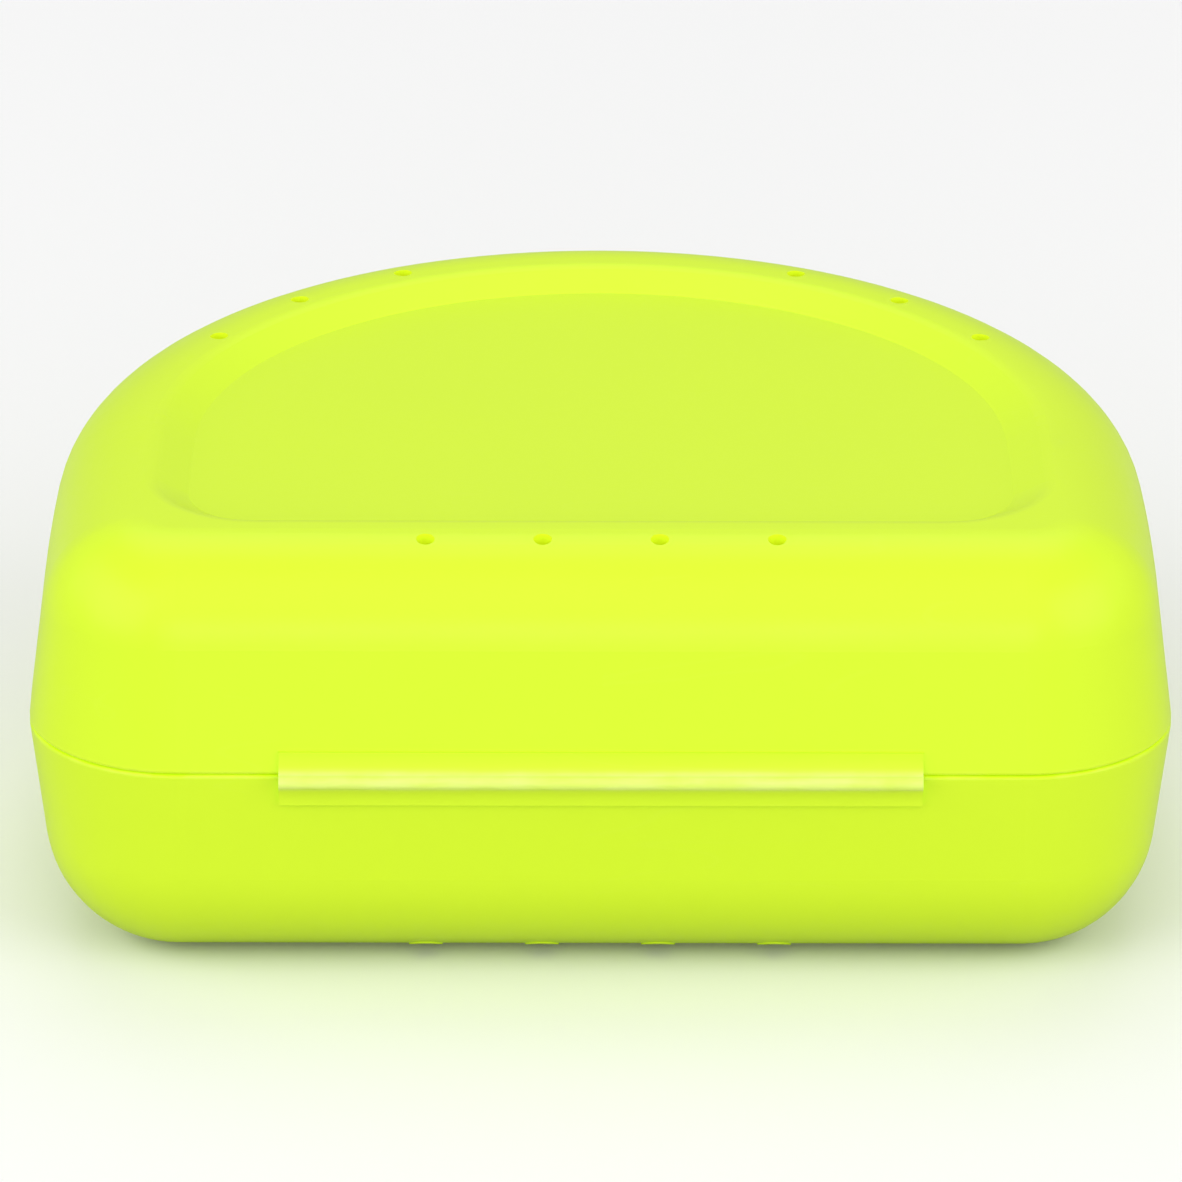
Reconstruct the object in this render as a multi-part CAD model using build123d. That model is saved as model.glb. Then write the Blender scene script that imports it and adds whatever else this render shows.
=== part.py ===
from build123d import *
import os
from math import atan2, cos, degrees, radians, sin, tan
from typing import NamedTuple

# A hinged case for an orthodontic retainer: two D-shaped shells joined by a film hinge.
# Millimetres. +Z is up, +X runs along the hinge, the hinge side faces -Y and the latch +Y.
# The origin is the centre of the bounding box's underside.

# Plan of the case at the seam
CASE_WIDTH = 80.0
CASE_DEPTH = 66.4
CORNER_RADIUS = 10.5
SIDE_LEAN = 0.5
WALL = 1.7

# Lid, with a flat label panel sunk into its top between gently sloping banks
LID_HEIGHT = 15.25
LID_DRAFT = 6.6
LID_EDGE_RADIUS = 7.1
PANEL_SIDE_INSET = 11.1
PANEL_END_INSET = 12.0
PANEL_CORNER_RADIUS = 5.0
PANEL_LEAN = 0.2
PANEL_DEPTH = 1.2
PANEL_SLOPE_RUN = 2.5
CREST_RADIUS = 1.8
CREST_SHARE = 0.9

# Base, with a shallow recess in its underside
BASE_HEIGHT = 16.5
BASE_DRAFT = 7.6
BASE_EDGE_RADIUS = 9.3
SOLE_INSET = 13.2
SOLE_CORNER_RADIUS = 3.0
SOLE_DEPTH = 1.0
SOLE_SLOPE_RUN = 0.9

# Seam: a fine gap, a locating lip on the base and a rabbet for it in the lid
SEAM_GAP = 0.12
RIM_ROUND = 0.2
LIP_HEIGHT = 1.5
LIP_THICKNESS = 0.65
LIP_CLEARANCE = 0.15
LIP_HEADROOM = 0.3

# Vents: a straight row over the hinge side, and two short rows on the curved side
VENT_DIAMETER = 1.3
FRONT_VENT_COUNT = 4
FRONT_VENT_PITCH = 8.15
FRONT_VENT_INSET = 6.6
BACK_VENT_COUNT = 3
BACK_VENT_FIRST_ANGLE = 26.5
BACK_VENT_STEP_ANGLE = 16.2
BACK_VENT_INSET = 7.7
VENT_RIM_DIAMETER = 2.4
VENT_RIM_HEIGHT = 0.1

# Film hinge: a flared leaf on each shell, and the thin film folded between their tips.
# The fold lies a little below the seam, so the lid's leaf overhangs the base's rim.
HINGE_WIDTH = 44.8
LEAF_REACH = 0.6
LEAF_FLARE_HEIGHT = 1.5
LEAF_CLEARANCE = 0.1
FOLD_GAP = 0.3
FOLD_DROP = 0.25
FILM_THICKNESS = 0.35

# Latch: a springy tab that hangs from the lid and hooks under a catch on the base
TAB_WIDTH = 18.0
TAB_THICKNESS = 1.4
TAB_GAP = 0.35
TAB_TOP = 2.6
TAB_DROP = 5.6
TAB_CORNER_RADIUS = 1.6
THUMB_LIP_REACH = 1.3
THUMB_LIP_HEIGHT = 0.9
NECK_THICKNESS = 0.6
NECK_HEIGHT = 0.6
BRACKET_FACE_HEIGHT = 0.5
BRACKET_SLOPE_HEIGHT = 2.2
CATCH_WIDTH = 12.0
CATCH_REACH = 0.25
CATCH_TOP = 2.2
CATCH_HEIGHT = 1.0
HOOK_CLEARANCE = 0.2
HOOK_REACH = 0.5
HOOK_HEIGHT = 0.6

# Lengths that follow from the sizes above
HALF_WIDTH = CASE_WIDTH / 2
BACK_RADIUS = HALF_WIDTH - SIDE_LEAN
HINGE_REACH = LEAF_REACH + FOLD_GAP / 2 + FILM_THICKNESS
LATCH_REACH = TAB_GAP + TAB_THICKNESS + THUMB_LIP_REACH
FRONT_Y = -(CASE_DEPTH + LATCH_REACH - HINGE_REACH) / 2
BACK_Y = FRONT_Y + CASE_DEPTH
BACK_CENTRE_Y = BACK_Y - BACK_RADIUS
SEAM_Z = BASE_HEIGHT
LID_RIM_Z = SEAM_Z + SEAM_GAP / 2
BASE_RIM_Z = SEAM_Z - SEAM_GAP / 2
LID_TOP_Z = SEAM_Z + LID_HEIGHT
FOLD_Z = SEAM_Z - FOLD_DROP
OVERCUT = 1.0


class Plan(NamedTuple):
    """A D seen from above: a straight front, two rounded corners, bowed sides and a round back."""

    half_width: float
    front: float
    back: float
    corner_radius: float
    back_radius: float

    def inward(self, inset):
        """The same D drawn in by inset all round, with every arc on its old centre."""
        return Plan(
            self.half_width - inset,
            self.front + inset,
            self.back - inset,
            self.corner_radius - inset,
            self.back_radius - inset,
        )

    def face(self, z):
        """A flat face of this D at height z."""
        side_length = self.back - self.front - self.corner_radius - self.back_radius
        lean = self.half_width - self.back_radius
        side_radius = (self.half_width + self.back_radius) / 2 + side_length**2 / (2 * lean)
        bow = degrees(atan2(side_length, side_radius - self.half_width))
        corner_x = self.half_width - self.corner_radius
        side_x = self.half_width - side_radius
        corner_y = self.front + self.corner_radius
        back_y = self.back - self.back_radius
        edges = [
            Line((-corner_x, self.front), (corner_x, self.front)),
            CenterArc((corner_x, corner_y), self.corner_radius, -90, 90),
            CenterArc((side_x, corner_y), side_radius, 0, bow),
            CenterArc((0, back_y), self.back_radius, bow, 180 - 2 * bow),
            CenterArc((-side_x, corner_y), side_radius, 180 - bow, bow),
            CenterArc((-corner_x, corner_y), self.corner_radius, 180, 90),
        ]
        return Pos(0, 0, z) * make_face(Wire(edges))


CASE_PLAN = Plan(HALF_WIDTH, FRONT_Y, BACK_Y, CORNER_RADIUS, BACK_RADIUS)


def tapered(plan, inset_low, z_low, inset_high, z_high):
    """A solid D whose outline changes evenly from one inset to another."""
    faces = [plan.inward(inset_low).face(z_low), plan.inward(inset_high).face(z_high)]
    return loft(faces, ruled=True)


def upright(plan, inset, z_low, z_high):
    """A solid D with upright walls."""
    return extrude(plan.inward(inset).face(z_low), z_high - z_low)


def bowl(inset, height, draft, edge_radius):
    """A solid D standing on z = 0 whose wall leans in and rounds over into a flat top."""
    body = tapered(CASE_PLAN, inset, 0, inset + height * tan(radians(draft)), height)
    top_edges = body.faces().sort_by(Axis.Z)[-1].edges()
    return fillet(top_edges, edge_radius)


def recessed_plan(side_inset, end_inset, corner_radius, lean):
    """The plan of a recessed flat, with its own insets, front corners and lean of the sides."""
    half_width = HALF_WIDTH - side_inset
    return Plan(half_width, FRONT_Y + end_inset, BACK_Y - end_inset, corner_radius, half_width - lean)


def edge_centre_inset(height, draft, edge_radius):
    """How far inside the rim the centre of a bowl's rounded edge lies."""
    lean = radians(draft)
    return (height - edge_radius) * tan(lean) + edge_radius / cos(lean)


def hollow_shell(height, draft, edge_radius, flat, flat_depth, slope_run):
    """A bowl open at z = 0, even in thickness, with a flat sunk into its closed end."""
    outer = bowl(0, height, draft, edge_radius)
    run = slope_run * (flat_depth + OVERCUT) / flat_depth
    outer -= tapered(flat, 0, height - flat_depth, -run, height + OVERCUT)
    flat_inset = HALF_WIDTH - flat.half_width
    band = flat_inset - slope_run - edge_centre_inset(height, draft, edge_radius)
    slope = atan2(flat_depth, slope_run)
    crest = min(CREST_RADIUS, CREST_SHARE * band / tan(slope / 2))
    inner_loop = outer.faces().filter_by(Plane.XY).sort_by(Axis.Z)[-1].inner_wires()[0]
    outer = fillet(inner_loop.edges(), crest)

    side_wall = WALL / cos(radians(draft))
    cavity = bowl(side_wall, height - WALL, draft, edge_radius - WALL)
    island_foot = height - flat_depth - WALL
    island_inset = -WALL * tan(slope / 2)
    island_run = slope_run * (flat_depth + WALL) / flat_depth
    cavity -= tapered(flat, island_inset, island_foot, island_inset - island_run, height)
    return outer - cavity


def vent_points():
    """Places of the vents, in plan."""
    first_x = -FRONT_VENT_PITCH * (FRONT_VENT_COUNT - 1) / 2
    front = [(first_x + i * FRONT_VENT_PITCH, FRONT_Y + FRONT_VENT_INSET) for i in range(FRONT_VENT_COUNT)]
    radius = BACK_RADIUS - BACK_VENT_INSET
    back = []
    for side in (-1, 1):
        for i in range(BACK_VENT_COUNT):
            angle = radians(BACK_VENT_FIRST_ANGLE + i * BACK_VENT_STEP_ANGLE)
            back.append((side * radius * sin(angle), BACK_CENTRE_Y + radius * cos(angle)))
    return front + back


def posts(diameter, z_low, z_high):
    """One upright post at each vent."""
    post = Cylinder(diameter / 2, z_high - z_low, align=(Align.CENTER, Align.CENTER, Align.MIN))
    return [Pos(x, y, z_low) * post for x, y in vent_points()]


def vented(shell, z_low, z_high):
    """A shell with every vent drilled between two heights."""
    for post in posts(VENT_DIAMETER, z_low, z_high):
        shell -= post
    return shell


def softened_rim(shell, z):
    """A shell whose outer rim edge at height z is slightly rounded."""
    rim = shell.faces().filter_by(Plane.XY).sort_by(lambda face: abs(face.center().Z - z))[0]
    return fillet(rim.outer_wire().edges(), RIM_ROUND)


def lid_outside():
    """The lid's outer form before anything is cut from it."""
    return Pos(0, 0, LID_RIM_Z) * bowl(0, LID_TOP_Z - LID_RIM_Z, LID_DRAFT, LID_EDGE_RADIUS)


def upside_down(solid):
    """A bowl turned over, so that its rim is at the base's rim height."""
    return Pos(0, 0, BASE_RIM_Z) * mirror(solid, about=Plane.XY)


def base_outside(growth=0.0):
    """The base's outer form, or the same form grown evenly by growth."""
    rim_inset = -growth / cos(radians(BASE_DRAFT))
    return upside_down(bowl(rim_inset, BASE_RIM_Z + growth, BASE_DRAFT, BASE_EDGE_RADIUS + growth))


def make_lid_shell():
    """Lid shell with its sunken label panel, vents and the rabbet for the base's lip."""
    height = LID_TOP_Z - LID_RIM_Z
    panel = recessed_plan(PANEL_SIDE_INSET, PANEL_END_INSET, PANEL_CORNER_RADIUS, PANEL_LEAN)
    shell = hollow_shell(height, LID_DRAFT, LID_EDGE_RADIUS, panel, PANEL_DEPTH, PANEL_SLOPE_RUN)
    shell = Pos(0, 0, LID_RIM_Z) * shell
    rabbet_inset = WALL - LIP_THICKNESS - LIP_CLEARANCE
    rabbet_top = BASE_RIM_Z + LIP_HEIGHT + LIP_HEADROOM
    shell -= upright(CASE_PLAN, rabbet_inset, LID_RIM_Z - OVERCUT, rabbet_top)
    shell = vented(shell, LID_TOP_Z - LID_EDGE_RADIUS, LID_TOP_Z + OVERCUT)
    return softened_rim(shell, LID_RIM_Z)


def make_base_shell():
    """Base shell with its shallow sole recess and vents."""
    sole = recessed_plan(SOLE_INSET, SOLE_INSET, SOLE_CORNER_RADIUS, SIDE_LEAN)
    shell = hollow_shell(BASE_RIM_Z, BASE_DRAFT, BASE_EDGE_RADIUS, sole, SOLE_DEPTH, SOLE_SLOPE_RUN)
    shell = vented(upside_down(shell), -OVERCUT, BASE_EDGE_RADIUS)
    return softened_rim(shell, BASE_RIM_Z)


def make_base_rim_lip():
    """Locating lip that stands on the inner half of the base's rim."""
    top = BASE_RIM_Z + LIP_HEIGHT
    lip = upright(CASE_PLAN, WALL - LIP_THICKNESS, BASE_RIM_Z, top)
    return lip - upright(CASE_PLAN, WALL, BASE_RIM_Z - OVERCUT, top + OVERCUT)


def make_base_vent_rims():
    """Low raised ring round each vent on the underside."""
    skin = base_outside(VENT_RIM_HEIGHT) - base_outside()
    outsides = posts(VENT_RIM_DIAMETER, -OVERCUT, BASE_EDGE_RADIUS)
    holes = posts(VENT_DIAMETER, -OVERCUT, BASE_EDGE_RADIUS)
    rims = []
    for outside, hole in zip(outsides, holes):
        rims += ((outside & skin) - hole).solids()
    return rims


def leaf_bar():
    """Flared bar along the hinge, above the fold, reaching from inside the wall to the leaf's tip."""
    tip_y = FRONT_Y - LEAF_REACH
    root_y = FRONT_Y + WALL
    near = FOLD_Z + FOLD_GAP / 2
    thick = near + FILM_THICKNESS
    far = thick + LEAF_FLARE_HEIGHT
    edges = [
        Line((root_y, near), (tip_y, near)),
        Line((tip_y, near), (tip_y, thick)),
        EllipticalCenterArc((tip_y, far), LEAF_REACH, LEAF_FLARE_HEIGHT, -90, arc_size=90),
        Line((FRONT_Y, far), (root_y, far)),
        Line((root_y, far), (root_y, near)),
    ]
    return extrude(Plane.YZ * make_face(Wire(edges)), HINGE_WIDTH / 2, both=True)


def make_lid_hinge_leaf():
    """The lid's leaf, kept clear of the base's rim that it overhangs."""
    base_rim = upright(CASE_PLAN, -LEAF_CLEARANCE, BASE_RIM_Z - OVERCUT, LID_RIM_Z)
    return leaf_bar() - lid_outside() - base_rim


def make_base_hinge_leaf():
    """The base's leaf, the same bar turned over below the fold."""
    return mirror(leaf_bar(), about=Plane.XY.offset(FOLD_Z)) - base_outside()


def make_hinge_film():
    """The thin film, folded in a half ring between the two leaf tips."""
    inner = FOLD_GAP / 2
    ring = Cylinder(inner + FILM_THICKNESS, HINGE_WIDTH) - Cylinder(inner, HINGE_WIDTH)
    tip_y = FRONT_Y - LEAF_REACH
    ring = Pos(0, tip_y, FOLD_Z) * Rot(0, 90, 0) * ring
    return split(ring, Plane.XZ.offset(-tip_y), keep=Keep.TOP)


def back_band(points, width):
    """A profile of (reach, height over the seam) points swept round the curved back wall."""
    corners = [(0, BACK_Y + reach, SEAM_Z + height) for reach, height in points]
    profile = make_face(Polyline(*corners, close=True))
    sweep = 2 * degrees(atan2(width / 2, BACK_RADIUS))
    axis = Axis((0, BACK_CENTRE_Y, 0), (0, 0, 1))
    return revolve(profile.rotate(axis, -sweep / 2), axis, sweep)


def make_latch_bracket():
    """Sloped pad on the lid's back wall that the tab's neck hangs from."""
    outer = TAB_GAP + TAB_THICKNESS
    low = TAB_TOP + NECK_HEIGHT
    high = low + BRACKET_FACE_HEIGHT + BRACKET_SLOPE_HEIGHT
    profile = [(-WALL, low), (outer, low), (outer, low + BRACKET_FACE_HEIGHT), (0, high), (-WALL, high)]
    return back_band(profile, TAB_WIDTH) - lid_outside()


def make_latch_neck():
    """Thin neck at which the tab flexes."""
    inner = TAB_GAP
    outer = inner + NECK_THICKNESS
    low = TAB_TOP
    high = low + NECK_HEIGHT
    return back_band([(inner, low), (outer, low), (outer, high), (inner, high)], TAB_WIDTH)


def make_latch_tab():
    """Thumb tab with a hook on its inner face and a lip to lift it by."""
    inner = TAB_GAP
    outer = inner + TAB_THICKNESS
    lip = outer + THUMB_LIP_REACH
    bottom = -TAB_DROP
    lip_top = bottom + THUMB_LIP_HEIGHT
    hook_top = -(CATCH_TOP + CATCH_HEIGHT + HOOK_CLEARANCE)
    hook_low = hook_top - HOOK_HEIGHT
    profile = [
        (inner, TAB_TOP),
        (outer, TAB_TOP),
        (outer, lip_top + THUMB_LIP_REACH),
        (lip, lip_top),
        (lip, bottom),
        (inner, bottom),
        (inner, hook_low - HOOK_REACH),
        (inner - HOOK_REACH, hook_low),
        (inner - HOOK_REACH, hook_top),
        (inner, hook_top),
    ]
    tab = back_band(profile, TAB_WIDTH)
    bottom_face = tab.faces().sort_by(Axis.Z)[0]
    return fillet(bottom_face.edges().filter_by(GeomType.LINE), TAB_CORNER_RADIUS)


def make_base_catch():
    """Bead on the base's back wall that the hook grips from below."""
    top = -CATCH_TOP
    low = top - CATCH_HEIGHT
    mid = (top + low) / 2
    bead = back_band([(-WALL, top), (0, top), (CATCH_REACH, mid), (0, low), (-WALL, low)], CATCH_WIDTH)
    return bead - base_outside()


def pieces():
    """Every node of the case, by name."""
    return {
        "base_shell": make_base_shell(),
        "base_rim_lip": make_base_rim_lip(),
        "base_vent_rims": Compound(children=make_base_vent_rims()),
        "base_hinge_leaf": make_base_hinge_leaf(),
        "base_catch": make_base_catch(),
        "hinge_film": make_hinge_film(),
        "lid_shell": make_lid_shell(),
        "lid_hinge_leaf": make_lid_hinge_leaf(),
        "latch_bracket": make_latch_bracket(),
        "latch_neck": make_latch_neck(),
        "latch_tab": make_latch_tab(),
    }


os.makedirs("parts", exist_ok=True)
for name, piece in pieces().items():
    export_step(piece, f"parts/{name}.step")
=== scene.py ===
import math

import bmesh
import bpy
from mathutils import Matrix, Vector, noise


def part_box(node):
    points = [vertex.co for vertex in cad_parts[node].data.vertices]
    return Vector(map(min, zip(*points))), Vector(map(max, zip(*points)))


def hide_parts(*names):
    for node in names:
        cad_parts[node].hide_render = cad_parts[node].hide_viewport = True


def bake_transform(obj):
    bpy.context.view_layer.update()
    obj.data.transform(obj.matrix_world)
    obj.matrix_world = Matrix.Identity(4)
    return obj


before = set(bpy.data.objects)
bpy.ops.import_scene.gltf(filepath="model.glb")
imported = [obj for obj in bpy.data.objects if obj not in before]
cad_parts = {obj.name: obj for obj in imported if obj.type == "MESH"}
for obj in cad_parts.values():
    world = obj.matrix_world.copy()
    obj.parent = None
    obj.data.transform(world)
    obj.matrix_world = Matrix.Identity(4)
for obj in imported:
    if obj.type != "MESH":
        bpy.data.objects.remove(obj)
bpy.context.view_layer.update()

MM = 0.001

# Places read from the parts imported from model.glb
SEAM_Z = (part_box("base_shell")[1].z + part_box("lid_shell")[0].z) / 2
FRONT_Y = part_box("lid_shell")[0].y
BACK_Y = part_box("lid_shell")[1].y
MIDDLE_Y = (FRONT_Y + BACK_Y) / 2
FILM_LOW, FILM_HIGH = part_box("hinge_film")
FOLD_Z = (FILM_LOW.z + FILM_HIGH.z) / 2
LEAF_TIP_Y = FILM_HIGH.y
NECK_LOW, NECK_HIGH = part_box("latch_neck")

# The photograph's camera: a long lens a little over a metre away, looking down on the hinge side
IMAGE_SIDE = 1182
PIXELS_PER_METRE = 14020
SEAM_CENTRE_PIXEL = (599.6, 588.0)
CAMERA_DISTANCE = 1.171
CAMERA_ELEVATION = math.radians(23.2)
CAMERA_YAW = math.radians(-0.2)
CAMERA_ROLL = math.radians(0.18)
CAMERA_NEAREST = 0.05
CAMERA_FARTHEST = 20
SENSOR_WIDTH = 36.0

# Soft boxes: degrees round from the hinge side, degrees up, metres away, metres wide, watts
SOFT_BOXES = {
    "key_box": (-8, 50, 1.30, 0.80, 1.4),
    "top_box": (0, 74, 1.20, 0.40, 0.3),
    "low_box": (0, 13, 1.30, 0.50, 2.2),
    "left_front_box": (-54, 26, 1.30, 1.10, 5.7),
    "right_front_box": (54, 26, 1.30, 1.10, 6.0),
    "left_side_box": (-95, 28, 1.30, 0.80, 1.8),
    "right_side_box": (95, 28, 1.30, 0.80, 0.9),
    "back_box": (180, 60, 1.30, 0.90, 2.8),
}
SURROUNDINGS = 0.45
WHITE = (1, 1, 1, 1)
BLACK = (0, 0, 0, 1)

# Floor paper: paler to the eye than in the light that it throws back
FLOOR_SIDE = 6
FLOOR_SEEN = (0.97, 0.97, 0.97, 1)
FLOOR_BOUNCE = (0.60, 0.60, 0.60, 1)
FLOOR_ROUGHNESS = 0.9
FLOOR_SHEEN = 0.1

# Dye of the plastic, where it is deep, rubbed or whitened by bending
LIME = (0.715, 0.975, 0.024, 1)
LIME_DEEP = (0.66, 0.935, 0.016, 1)
LIME_RUBBED = (0.80, 0.985, 0.12, 1)
LIME_WHITENED = (0.86, 0.985, 0.30, 1)
WEAR_SHARE = 0.35
SCUFF_SHARE = 0.05
FLEXED_WHITENING = 0.7
FOLD_START_Y = FRONT_Y - 0.15 * MM

# Skin of the plastic
SATIN_SHEEN = 0.3
SHELL_ROUGHNESS = 0.36
LEAF_ROUGHNESS = 0.48
FLEXED_ROUGHNESS = 0.55
GRAIN_DEPTH = 0.006 * MM
FLEXED_GRAIN_DEPTH = 0.012 * MM
GRAIN_STRENGTH = 0.6
CRAZING_SHARE = 2.0

# Painted light: emission that lightens the shade in the seam and in the bores of the lid's vents,
# standing in for light carried through the plastic
PAINTED_SEAM_LIGHT = (0.22, 0.20, 0.0, 1)
PAINTED_SEAM_LIGHT_WIDTH = 0.14 * MM
PAINTED_VENT_LIGHT = (0.135, 0.09, 0.0, 1)
ROOF_Z = SEAM_Z + 7.0 * MM
PAINTED_LIGHT_STRENGTH = 1.0

# Steepest slope that still counts as an upright bore; the drafted walls lean more
UPRIGHT = 0.07

# How the textures are stretched and turned over the plastic
FLOW_STRETCH = (0.25, 0.25, 1.0)
FOLD_STRETCH = (0.12, 1.0, 1.0)
SCUFF_STRETCH = (0.18, 1.0, 1.0)
SCUFF_LEAN = (0.5, 0.35, 0.7)
NOISE_MIDDLE = 0.5

# Film hinge
FILM_RADIUS = (FILM_HIGH.z - FILM_LOW.z) / 2
FILM_INSIDE_HEIGHT = 0.15 * MM
FILM_INSIDE_REACH = 0.28 * MM
FILM_EDGE = 0.04 * MM
FILM_STATIONS = 180
FILM_POINTS = 22
SEATING = 0.05 * MM

# Ragged surface of the film: its depth, its steps along and round the fold, and its layers
RAG_DEPTH = 0.018 * MM
RAG_ALONG = 0.9
RAG_ROUND = 0.35
RAG_FADE = 1.0
RAG_FINER = 2.0
RAG_LAYERS = 3

# Latch neck
BACK_RADIUS = 39.5 * MM
NECK_GAP = 0.35 * MM
NECK_THICKNESS = 0.6 * MM
NECK_WAIST = 0.12 * MM
NECK_EDGE = 0.05 * MM
NECK_STATIONS = 40
NECK_POINTS = 9

# Sharpest bend that the film and the neck are shaded smoothly over
SMOOTH_BEND = math.radians(40)

# Kinds of socket, and the places of the colour sockets on a Mix node
VECTOR = "NodeSocketVector"
COLOUR = "NodeSocketColor"
NUMBER = "NodeSocketFloat"
MIX_SHARE, MIX_FIRST, MIX_SECOND, MIX_RESULT = 0, 6, 7, 2


def make_camera():
    """Camera at the photograph's viewing angle."""
    data = bpy.data.cameras.new("photo_camera")
    data.sensor_width = SENSOR_WIDTH
    data.lens = PIXELS_PER_METRE * CAMERA_DISTANCE / IMAGE_SIDE * SENSOR_WIDTH
    data.clip_start = CAMERA_NEAREST
    data.clip_end = CAMERA_FARTHEST
    camera = bpy.data.objects.new("photo_camera", data)
    bpy.context.scene.collection.objects.link(camera)
    turn = Matrix.Rotation(CAMERA_YAW, 3, "Z")
    forward = turn @ Vector((0, math.cos(CAMERA_ELEVATION), -math.sin(CAMERA_ELEVATION)))
    right = turn @ Vector((1, 0, 0))
    up = right.cross(forward)
    right, up = (
        right * math.cos(CAMERA_ROLL) + up * math.sin(CAMERA_ROLL),
        up * math.cos(CAMERA_ROLL) - right * math.sin(CAMERA_ROLL),
    )
    target = Vector((0, MIDDLE_Y, SEAM_Z))
    half = IMAGE_SIDE / 2
    target -= right * (SEAM_CENTRE_PIXEL[0] - half) / PIXELS_PER_METRE
    target += up * (SEAM_CENTRE_PIXEL[1] - half) / PIXELS_PER_METRE
    facing = Matrix((right, up, -forward)).transposed().to_4x4()
    camera.matrix_world = Matrix.Translation(target - forward * CAMERA_DISTANCE) @ facing
    bpy.context.scene.camera = camera


def soft_box(name, azimuth, elevation, distance, side, power):
    """Square soft light aimed at the case."""
    data = bpy.data.lights.new(name, "AREA")
    data.shape = "SQUARE"
    data.size = side
    data.energy = power
    light = bpy.data.objects.new(name, data)
    bpy.context.scene.collection.objects.link(light)
    turn = math.radians(azimuth)
    rise = math.radians(elevation)
    level = math.cos(rise)
    aim = Vector((math.sin(turn) * level, -math.cos(turn) * level, math.sin(rise)))
    light.location = Vector((0, 0, SEAM_Z)) + aim * distance
    light.rotation_euler = aim.to_track_quat("Z", "Y").to_euler()


def make_lights():
    """Soft studio light: even surroundings and the soft boxes."""
    world = bpy.data.worlds.new("studio")
    bpy.context.scene.world = world
    world.use_nodes = True
    background = world.node_tree.nodes["Background"]
    background.inputs["Color"].default_value = WHITE
    background.inputs["Strength"].default_value = SURROUNDINGS
    for name, values in SOFT_BOXES.items():
        soft_box(name, *values)
    view = bpy.context.scene.view_settings
    view.view_transform = "Standard"
    view.look = "None"


def fill(tree, made, values):
    """Sets a node's inputs to values, or joins them to sockets."""
    for key, value in values.items():
        if isinstance(value, bpy.types.NodeSocket):
            tree.links.new(value, made.inputs[key])
        else:
            made.inputs[key].default_value = value


def node(tree, kind, values=None, **settings):
    """A new shader node with its settings made and its inputs filled."""
    made = tree.nodes.new(kind)
    for name, value in settings.items():
        setattr(made, name, value)
    fill(tree, made, values or {})
    return made


def math_node(tree, operation, *values, clamp=False):
    """The result of one sum on numbers or sockets."""
    values = dict(enumerate(values))
    return node(tree, "ShaderNodeMath", values, operation=operation, use_clamp=clamp).outputs[0]


def mixed(tree, share, first, second):
    """Two colours mixed, with the second one's share."""
    values = {MIX_SHARE: share, MIX_FIRST: first, MIX_SECOND: second}
    return node(tree, "ShaderNodeMix", values, data_type="RGBA").outputs[MIX_RESULT]


def part_of(tree, vector, axis):
    """The X, Y or Z part of a vector."""
    return node(tree, "ShaderNodeSeparateXYZ", {"Vector": vector}).outputs[axis]


def stretched(tree, position, shares):
    """A position with each of its parts times a share, which draws a texture out."""
    made = node(tree, "ShaderNodeVectorMath", {0: position, 1: shares}, operation="MULTIPLY")
    return made.outputs["Vector"]


def speckle(tree, position, scale, detail, roughness=0.5, distortion=0.0):
    """Noise between 0 and 1."""
    values = {"Vector": position, "Scale": scale, "Detail": detail}
    values.update({"Roughness": roughness, "Distortion": distortion})
    return node(tree, "ShaderNodeTexNoise", values).outputs["Fac"]


def near(tree, value, level, width):
    """A mask that falls from 1 at a level to 0 at a width from it."""
    away = math_node(tree, "ABSOLUTE", math_node(tree, "SUBTRACT", value, level))
    return math_node(tree, "SUBTRACT", 1.0, math_node(tree, "DIVIDE", away, width), clamp=True)


def rising(tree, value, low, high):
    """A mask that rises softly from 0 at the low value to 1 at the high one."""
    values = {"Value": value, "From Min": low, "From Max": high}
    made = node(tree, "ShaderNodeMapRange", values, interpolation_type="SMOOTHSTEP")
    return made.outputs["Result"]


def effect(name, inputs, outputs):
    """A new node group, where an input given as a number is a number socket set to it."""
    tree = bpy.data.node_groups.new(name, "ShaderNodeTree")
    for socket, value in inputs.items():
        kind = value if value in (VECTOR, COLOUR) else NUMBER
        made = tree.interface.new_socket(socket, in_out="INPUT", socket_type=kind)
        if kind == NUMBER:
            made.default_value = value
    for socket, kind in outputs.items():
        tree.interface.new_socket(socket, in_out="OUTPUT", socket_type=kind)
    return tree, node(tree, "NodeGroupInput").outputs, node(tree, "NodeGroupOutput")


def moulded_skin():
    """Fine even grain of the mould and slow ripples of the cooling plastic."""
    tree, given, result = effect(
        "moulded_skin",
        {
            "Position": VECTOR,
            "Grain Scale": 2600.0,
            "Ripple Scale": 90.0,
            "Ripple Share": 0.6,
            "Roughness": SHELL_ROUGHNESS,
            "Roughness Spread": 0.10,
        },
        {"Height": NUMBER, "Roughness": NUMBER},
    )
    position = given["Position"]
    grain = speckle(tree, position, given["Grain Scale"], detail=2.0, roughness=0.6)
    ripple = speckle(tree, position, given["Ripple Scale"], detail=1.0, roughness=0.4)
    grain = math_node(tree, "SUBTRACT", grain, NOISE_MIDDLE)
    ripple = math_node(tree, "SUBTRACT", ripple, NOISE_MIDDLE)
    swell = math_node(tree, "MULTIPLY", ripple, given["Ripple Share"])
    both = math_node(tree, "ADD", grain, ripple)
    shift = math_node(tree, "MULTIPLY", both, given["Roughness Spread"])
    roughness = math_node(tree, "ADD", given["Roughness"], shift, clamp=True)
    fill(tree, result, {"Height": math_node(tree, "ADD", grain, swell), "Roughness": roughness})
    return tree


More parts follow.
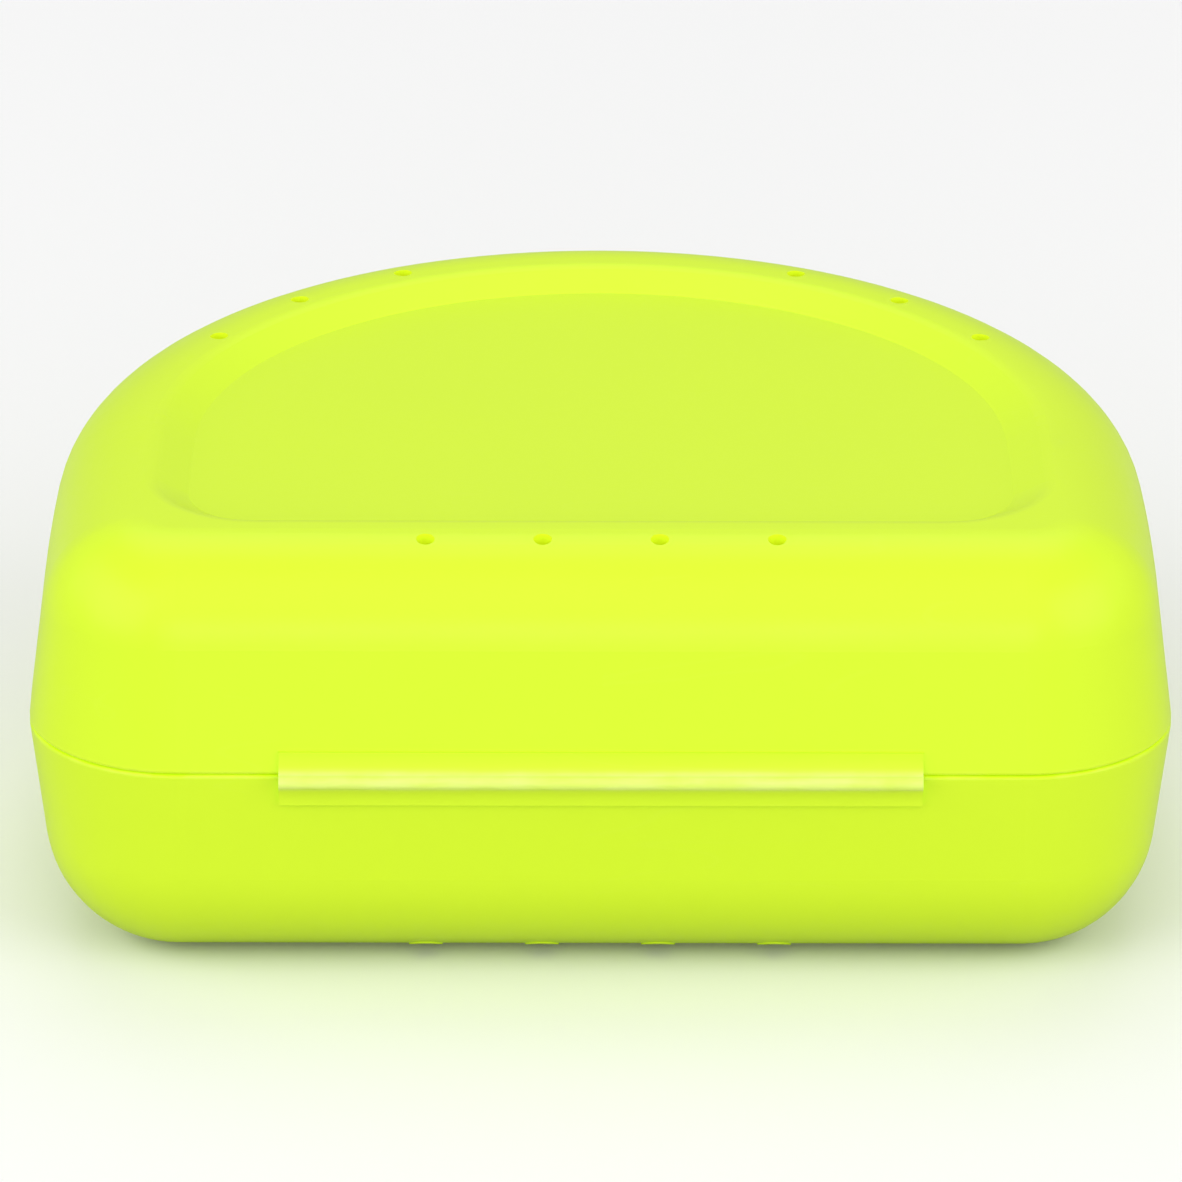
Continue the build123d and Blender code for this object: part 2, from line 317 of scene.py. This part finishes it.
def colour_drift():
    """Slow drift of the dye's strength, with faint streaks where the plastic flowed."""
    tree, given, result = effect(
        "colour_drift",
        {
            "Color": COLOUR,
            "Deep Color": COLOUR,
            "Position": VECTOR,
            "Cloud Scale": 45.0,
            "Streak Scale": 160.0,
            "Threshold": 0.55,
            "Amount": 0.16,
        },
        {"Color": COLOUR},
    )
    flow = stretched(tree, given["Position"], FLOW_STRETCH)
    cloud = speckle(tree, given["Position"], given["Cloud Scale"], detail=2.0, distortion=0.6)
    streak = speckle(tree, flow, given["Streak Scale"], detail=3.0, distortion=1.2)
    total = math_node(tree, "ADD", cloud, streak)
    over = math_node(tree, "SUBTRACT", total, given["Threshold"])
    share = math_node(tree, "MULTIPLY", over, given["Amount"], clamp=True)
    fill(tree, result, {"Color": mixed(tree, share, given["Color"], given["Deep Color"])})
    return tree


def rim_wear():
    """Broken line of rubbed plastic along a level rim."""
    tree, given, result = effect(
        "rim_wear",
        {
            "Position": VECTOR,
            "Level": SEAM_Z,
            "Width": 0.4 * MM,
            "Breakup Scale": 400.0,
            "Broken From": 0.42,
            "Broken To": 0.62,
        },
        {"Mask": NUMBER},
    )
    position = given["Position"]
    rim = near(tree, part_of(tree, position, "Z"), given["Level"], given["Width"])
    chips = speckle(tree, position, given["Breakup Scale"], detail=3.0)
    broken = rising(tree, chips, given["Broken From"], given["Broken To"])
    fill(tree, result, {"Mask": math_node(tree, "MULTIPLY", rim, broken)})
    return tree


def handling_scuffs():
    """Sparse hair-fine rub marks from pockets and fingers."""
    tree, given, result = effect(
        "handling_scuffs",
        {
            "Position": VECTOR,
            "Scale": 260.0,
            "Fineness": 0.012,
            "Patch Scale": 70.0,
            "Sparseness": 0.56,
        },
        {"Mask": NUMBER},
    )
    position = given["Position"]
    placing = {"Vector": position, "Rotation": SCUFF_LEAN, "Scale": SCUFF_STRETCH}
    leaning = node(tree, "ShaderNodeMapping", placing).outputs["Vector"]
    lines = speckle(tree, leaning, given["Scale"], detail=1.0)
    hair = near(tree, lines, NOISE_MIDDLE, given["Fineness"])
    patches = speckle(tree, position, given["Patch Scale"], detail=2.0)
    shown = math_node(tree, "GREATER_THAN", patches, given["Sparseness"])
    fill(tree, result, {"Mask": math_node(tree, "MULTIPLY", hair, shown)})
    return tree


def stress_whitening():
    """Plastic paled by bending, with fine crazing lines along the fold."""
    tree, given, result = effect(
        "stress_whitening",
        {
            "Color": COLOUR,
            "White Color": COLOUR,
            "Position": VECTOR,
            "Mask": FLEXED_WHITENING,
            "Line Scale": 1500.0,
            "Blotch Scale": 320.0,
            "Threshold": 0.25,
        },
        {"Color": COLOUR, "Height": NUMBER},
    )
    along = stretched(tree, given["Position"], FOLD_STRETCH)
    lines = speckle(tree, along, given["Line Scale"], detail=3.0)
    blotches = speckle(tree, given["Position"], given["Blotch Scale"], detail=2.0)
    total = math_node(tree, "ADD", lines, blotches)
    over = math_node(tree, "SUBTRACT", total, given["Threshold"])
    share = math_node(tree, "MULTIPLY", over, given["Mask"], clamp=True)
    paled = mixed(tree, share, given["Color"], given["White Color"])
    crazing = math_node(tree, "MULTIPLY", lines, given["Mask"])
    fill(tree, result, {"Color": paled, "Height": crazing})
    return tree


def painted_edge_light():
    """Painted light: emission that lightens the shade in the seam and in the bores of the lid's
    vents.
    """
    tree, given, result = effect(
        "painted_edge_light",
        {
            "Position": VECTOR,
            "Normal": VECTOR,
            "Seam Level": SEAM_Z,
            "Seam Width": PAINTED_SEAM_LIGHT_WIDTH,
            "Roof Level": ROOF_Z,
            "Painted Seam Light": COLOUR,
            "Painted Vent Light": COLOUR,
        },
        {"Color": COLOUR},
    )
    height = part_of(tree, given["Position"], "Z")
    lean = math_node(tree, "ABSOLUTE", part_of(tree, given["Normal"], "Z"))
    seam = near(tree, height, given["Seam Level"], given["Seam Width"])
    upright = math_node(tree, "LESS_THAN", lean, UPRIGHT)
    roof = math_node(tree, "GREATER_THAN", height, given["Roof Level"])
    bore = math_node(tree, "MULTIPLY", upright, roof)
    lit_seam = mixed(tree, seam, BLACK, given["Painted Seam Light"])
    fill(tree, result, {"Color": mixed(tree, bore, lit_seam, given["Painted Vent Light"])})
    return tree


EFFECTS = {}


def make_effects():
    """Builds each effect once."""
    makers = (moulded_skin, colour_drift, rim_wear, handling_scuffs, stress_whitening, painted_edge_light)
    for maker in makers:
        EFFECTS[maker.__name__] = maker()


def use(tree, name, values):
    """Places an effect in a material with its own values."""
    return node(tree, "ShaderNodeGroup", values, node_tree=EFFECTS[name]).outputs


def new_material(name):
    """A new material with its node tree and shader."""
    material = bpy.data.materials.new(name)
    material.use_nodes = True
    return material, material.node_tree, material.node_tree.nodes["Principled BSDF"]


def make_floor():
    """Plain pale floor that the case stands on."""
    bpy.ops.mesh.primitive_plane_add(size=FLOOR_SIDE, location=(0, 0, 0))
    floor = bpy.context.object
    floor.name = "floor"
    material, tree, shader = new_material("floor_paper")
    seen = node(tree, "ShaderNodeLightPath").outputs["Is Camera Ray"]
    paper = {"Base Color": mixed(tree, seen, FLOOR_BOUNCE, FLOOR_SEEN)}
    paper.update({"Roughness": FLOOR_ROUGHNESS, "Specular IOR Level": FLOOR_SHEEN})
    fill(tree, shader, paper)
    floor.data.materials.append(material)


def worn_colour(tree, position):
    """The drifting dye, paled where the rims are rubbed and the case is scuffed."""
    dyes = {"Color": LIME, "Deep Color": LIME_DEEP, "Position": position}
    dyed = use(tree, "colour_drift", dyes)["Color"]
    wear = use(tree, "rim_wear", {"Position": position, "Level": SEAM_Z})["Mask"]
    scuffs = use(tree, "handling_scuffs", {"Position": position})["Mask"]
    wear = math_node(tree, "MULTIPLY", wear, WEAR_SHARE)
    scuffs = math_node(tree, "MULTIPLY", scuffs, SCUFF_SHARE)
    rubbed = math_node(tree, "ADD", wear, scuffs, clamp=True)
    return mixed(tree, rubbed, dyed, LIME_RUBBED)


def fold_mask(tree, position):
    """A mask that rises from the hinge wall to the leaf tips."""
    return rising(tree, part_of(tree, position, "Y"), FOLD_START_Y, LEAF_TIP_Y)


def lime_plastic(name, roughness, whitening=None, grain_depth=GRAIN_DEPTH):
    """Satin moulded plastic, whitened by a share or a mask, or else with painted light in its
    seam and vent bores.
    """
    material, tree, shader = new_material(name)
    places = node(tree, "ShaderNodeTexCoord").outputs
    position = places["Object"]
    colour = worn_colour(tree, position)
    skin = use(tree, "moulded_skin", {"Position": position, "Roughness": roughness})
    height = skin["Height"]
    if whitening is None:
        edges = {"Position": position, "Normal": places["Normal"]}
        edges.update({"Painted Seam Light": PAINTED_SEAM_LIGHT, "Painted Vent Light": PAINTED_VENT_LIGHT})
        # painted light: emission that lightens the seam and the lid's vent bores
        painted_glow = use(tree, "painted_edge_light", edges)["Color"]
        fill(tree, shader, {"Emission Color": painted_glow, "Emission Strength": PAINTED_LIGHT_STRENGTH})
    else:
        mask = whitening(tree, position) if callable(whitening) else whitening
        bent = {"Color": colour, "White Color": LIME_WHITENED, "Position": position, "Mask": mask}
        paled = use(tree, "stress_whitening", bent)
        colour = paled["Color"]
        crazing = math_node(tree, "MULTIPLY", paled["Height"], CRAZING_SHARE)
        height = math_node(tree, "ADD", height, crazing)
    relief = {"Height": height, "Distance": grain_depth, "Strength": GRAIN_STRENGTH}
    bump = node(tree, "ShaderNodeBump", relief).outputs["Normal"]
    fill(tree, shader, {"Base Color": colour, "Roughness": skin["Roughness"], "Normal": bump})
    fill(tree, shader, {"Specular IOR Level": SATIN_SHEEN})
    return material


def strip(name, stations, material):
    """A closed strip through stations, each an outer and an inner row of as many points."""
    mesh = bpy.data.meshes.new(name)
    made = bmesh.new()
    rows = [[[made.verts.new(point) for point in row] for row in station] for station in stations]
    last = len(rows[0][0]) - 1
    for (outer, inner), (next_outer, next_inner) in zip(rows, rows[1:]):
        for i in range(last):
            made.faces.new((outer[i], outer[i + 1], next_outer[i + 1], next_outer[i]))
            made.faces.new((inner[i + 1], inner[i], next_inner[i], next_inner[i + 1]))
        made.faces.new((inner[0], outer[0], next_outer[0], next_inner[0]))
        made.faces.new((outer[last], inner[last], next_inner[last], next_outer[last]))
    for outer, inner in (rows[0], rows[-1]):
        for i in range(last):
            made.faces.new((outer[i], inner[i], inner[i + 1], outer[i + 1]))
    bmesh.ops.recalc_face_normals(made, faces=made.faces)
    for face in made.faces:
        face.smooth = True
    for edge in made.edges:
        edge.smooth = edge.calc_face_angle() < SMOOTH_BEND
    made.to_mesh(mesh)
    made.free()
    mesh.materials.append(material)
    piece = bpy.data.objects.new(name, mesh)
    bpy.context.scene.collection.objects.link(piece)
    return piece


def film_station(x, pinch):
    """One section of the folded film: a half ring, thinnest at its middle."""
    outer, inner = [], []
    for i in range(FILM_POINTS + 1):
        angle = math.pi * (0.5 - i / FILM_POINTS)
        reach, height = math.cos(angle), math.sin(angle)
        place = Vector((x / MM * RAG_ALONG, i * RAG_ROUND, 0.0))
        rag = RAG_DEPTH * (1 + noise.fractal(place, RAG_FADE, RAG_FINER, RAG_LAYERS)) * reach
        radius = FILM_RADIUS - rag - pinch
        outer.append((x, LEAF_TIP_Y - radius * reach, FOLD_Z + radius * height))
        inside_reach = FILM_INSIDE_REACH + pinch
        inside_height = FILM_INSIDE_HEIGHT + pinch
        inner.append((x, LEAF_TIP_Y - inside_reach * reach, FOLD_Z + inside_height * height))
    for row in (outer, inner):
        row.insert(0, (x, row[0][1] + SEATING, row[0][2]))
        row.append((x, row[-1][1] + SEATING, row[-1][2]))
    return outer, inner


def make_hinge_film(material):
    """The film, folded between the two leaf tips and paled by bending."""
    low, high = FILM_LOW.x, FILM_HIGH.x
    stations = [film_station(low, FILM_EDGE), film_station(low + FILM_EDGE, 0.0)]
    for i in range(1, FILM_STATIONS):
        stations.append(film_station(low + (high - low) * i / FILM_STATIONS, 0.0))
    stations += [film_station(high - FILM_EDGE, 0.0), film_station(high, FILM_EDGE)]
    film = strip("hinge_film_fold", stations, material)
    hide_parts("hinge_film")
    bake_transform(film)


def neck_station(angle, pinch):
    """One section of the neck, waisted at the middle of its height."""
    outer, inner = [], []
    centre_y = BACK_Y - BACK_RADIUS
    for i in range(NECK_POINTS + 1):
        share = i / NECK_POINTS
        waist = NECK_WAIST * (1 - (2 * share - 1) ** 2) + pinch
        z = NECK_LOW.z - SEATING + (NECK_HIGH.z - NECK_LOW.z + 2 * SEATING) * share
        reaches = (NECK_GAP + NECK_THICKNESS - waist, NECK_GAP + waist)
        for row, reach in zip((outer, inner), reaches):
            radius = BACK_RADIUS + reach
            row.append((radius * math.sin(angle), centre_y + radius * math.cos(angle), z))
    return outer, inner


def make_latch_neck(material):
    """The thin curved neck that the latch tab hangs by."""
    outer_radius = BACK_RADIUS + NECK_GAP + NECK_THICKNESS
    span = math.asin(NECK_HIGH.x / outer_radius)
    edge = NECK_EDGE / outer_radius
    stations = [neck_station(-span, NECK_EDGE), neck_station(edge - span, 0.0)]
    for i in range(1, NECK_STATIONS):
        stations.append(neck_station(span * (2 * i / NECK_STATIONS - 1), 0.0))
    stations += [neck_station(span - edge, 0.0), neck_station(span, NECK_EDGE)]
    neck = strip("latch_neck_flex", stations, material)
    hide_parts("latch_neck")
    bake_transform(neck)


def dress(name, material):
    """Gives a carried-over piece its finish."""
    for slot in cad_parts[name].material_slots:
        slot.material = material


make_camera()
make_floor()
make_lights()
make_effects()
shell_plastic = lime_plastic("shell_plastic", SHELL_ROUGHNESS)
leaf_plastic = lime_plastic("leaf_plastic", LEAF_ROUGHNESS, fold_mask)
flexed_plastic = lime_plastic(
    "flexed_plastic", FLEXED_ROUGHNESS, FLEXED_WHITENING, grain_depth=FLEXED_GRAIN_DEPTH
)
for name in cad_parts:
    dress(name, leaf_plastic if name.endswith("hinge_leaf") else shell_plastic)
make_hinge_film(flexed_plastic)
make_latch_neck(flexed_plastic)
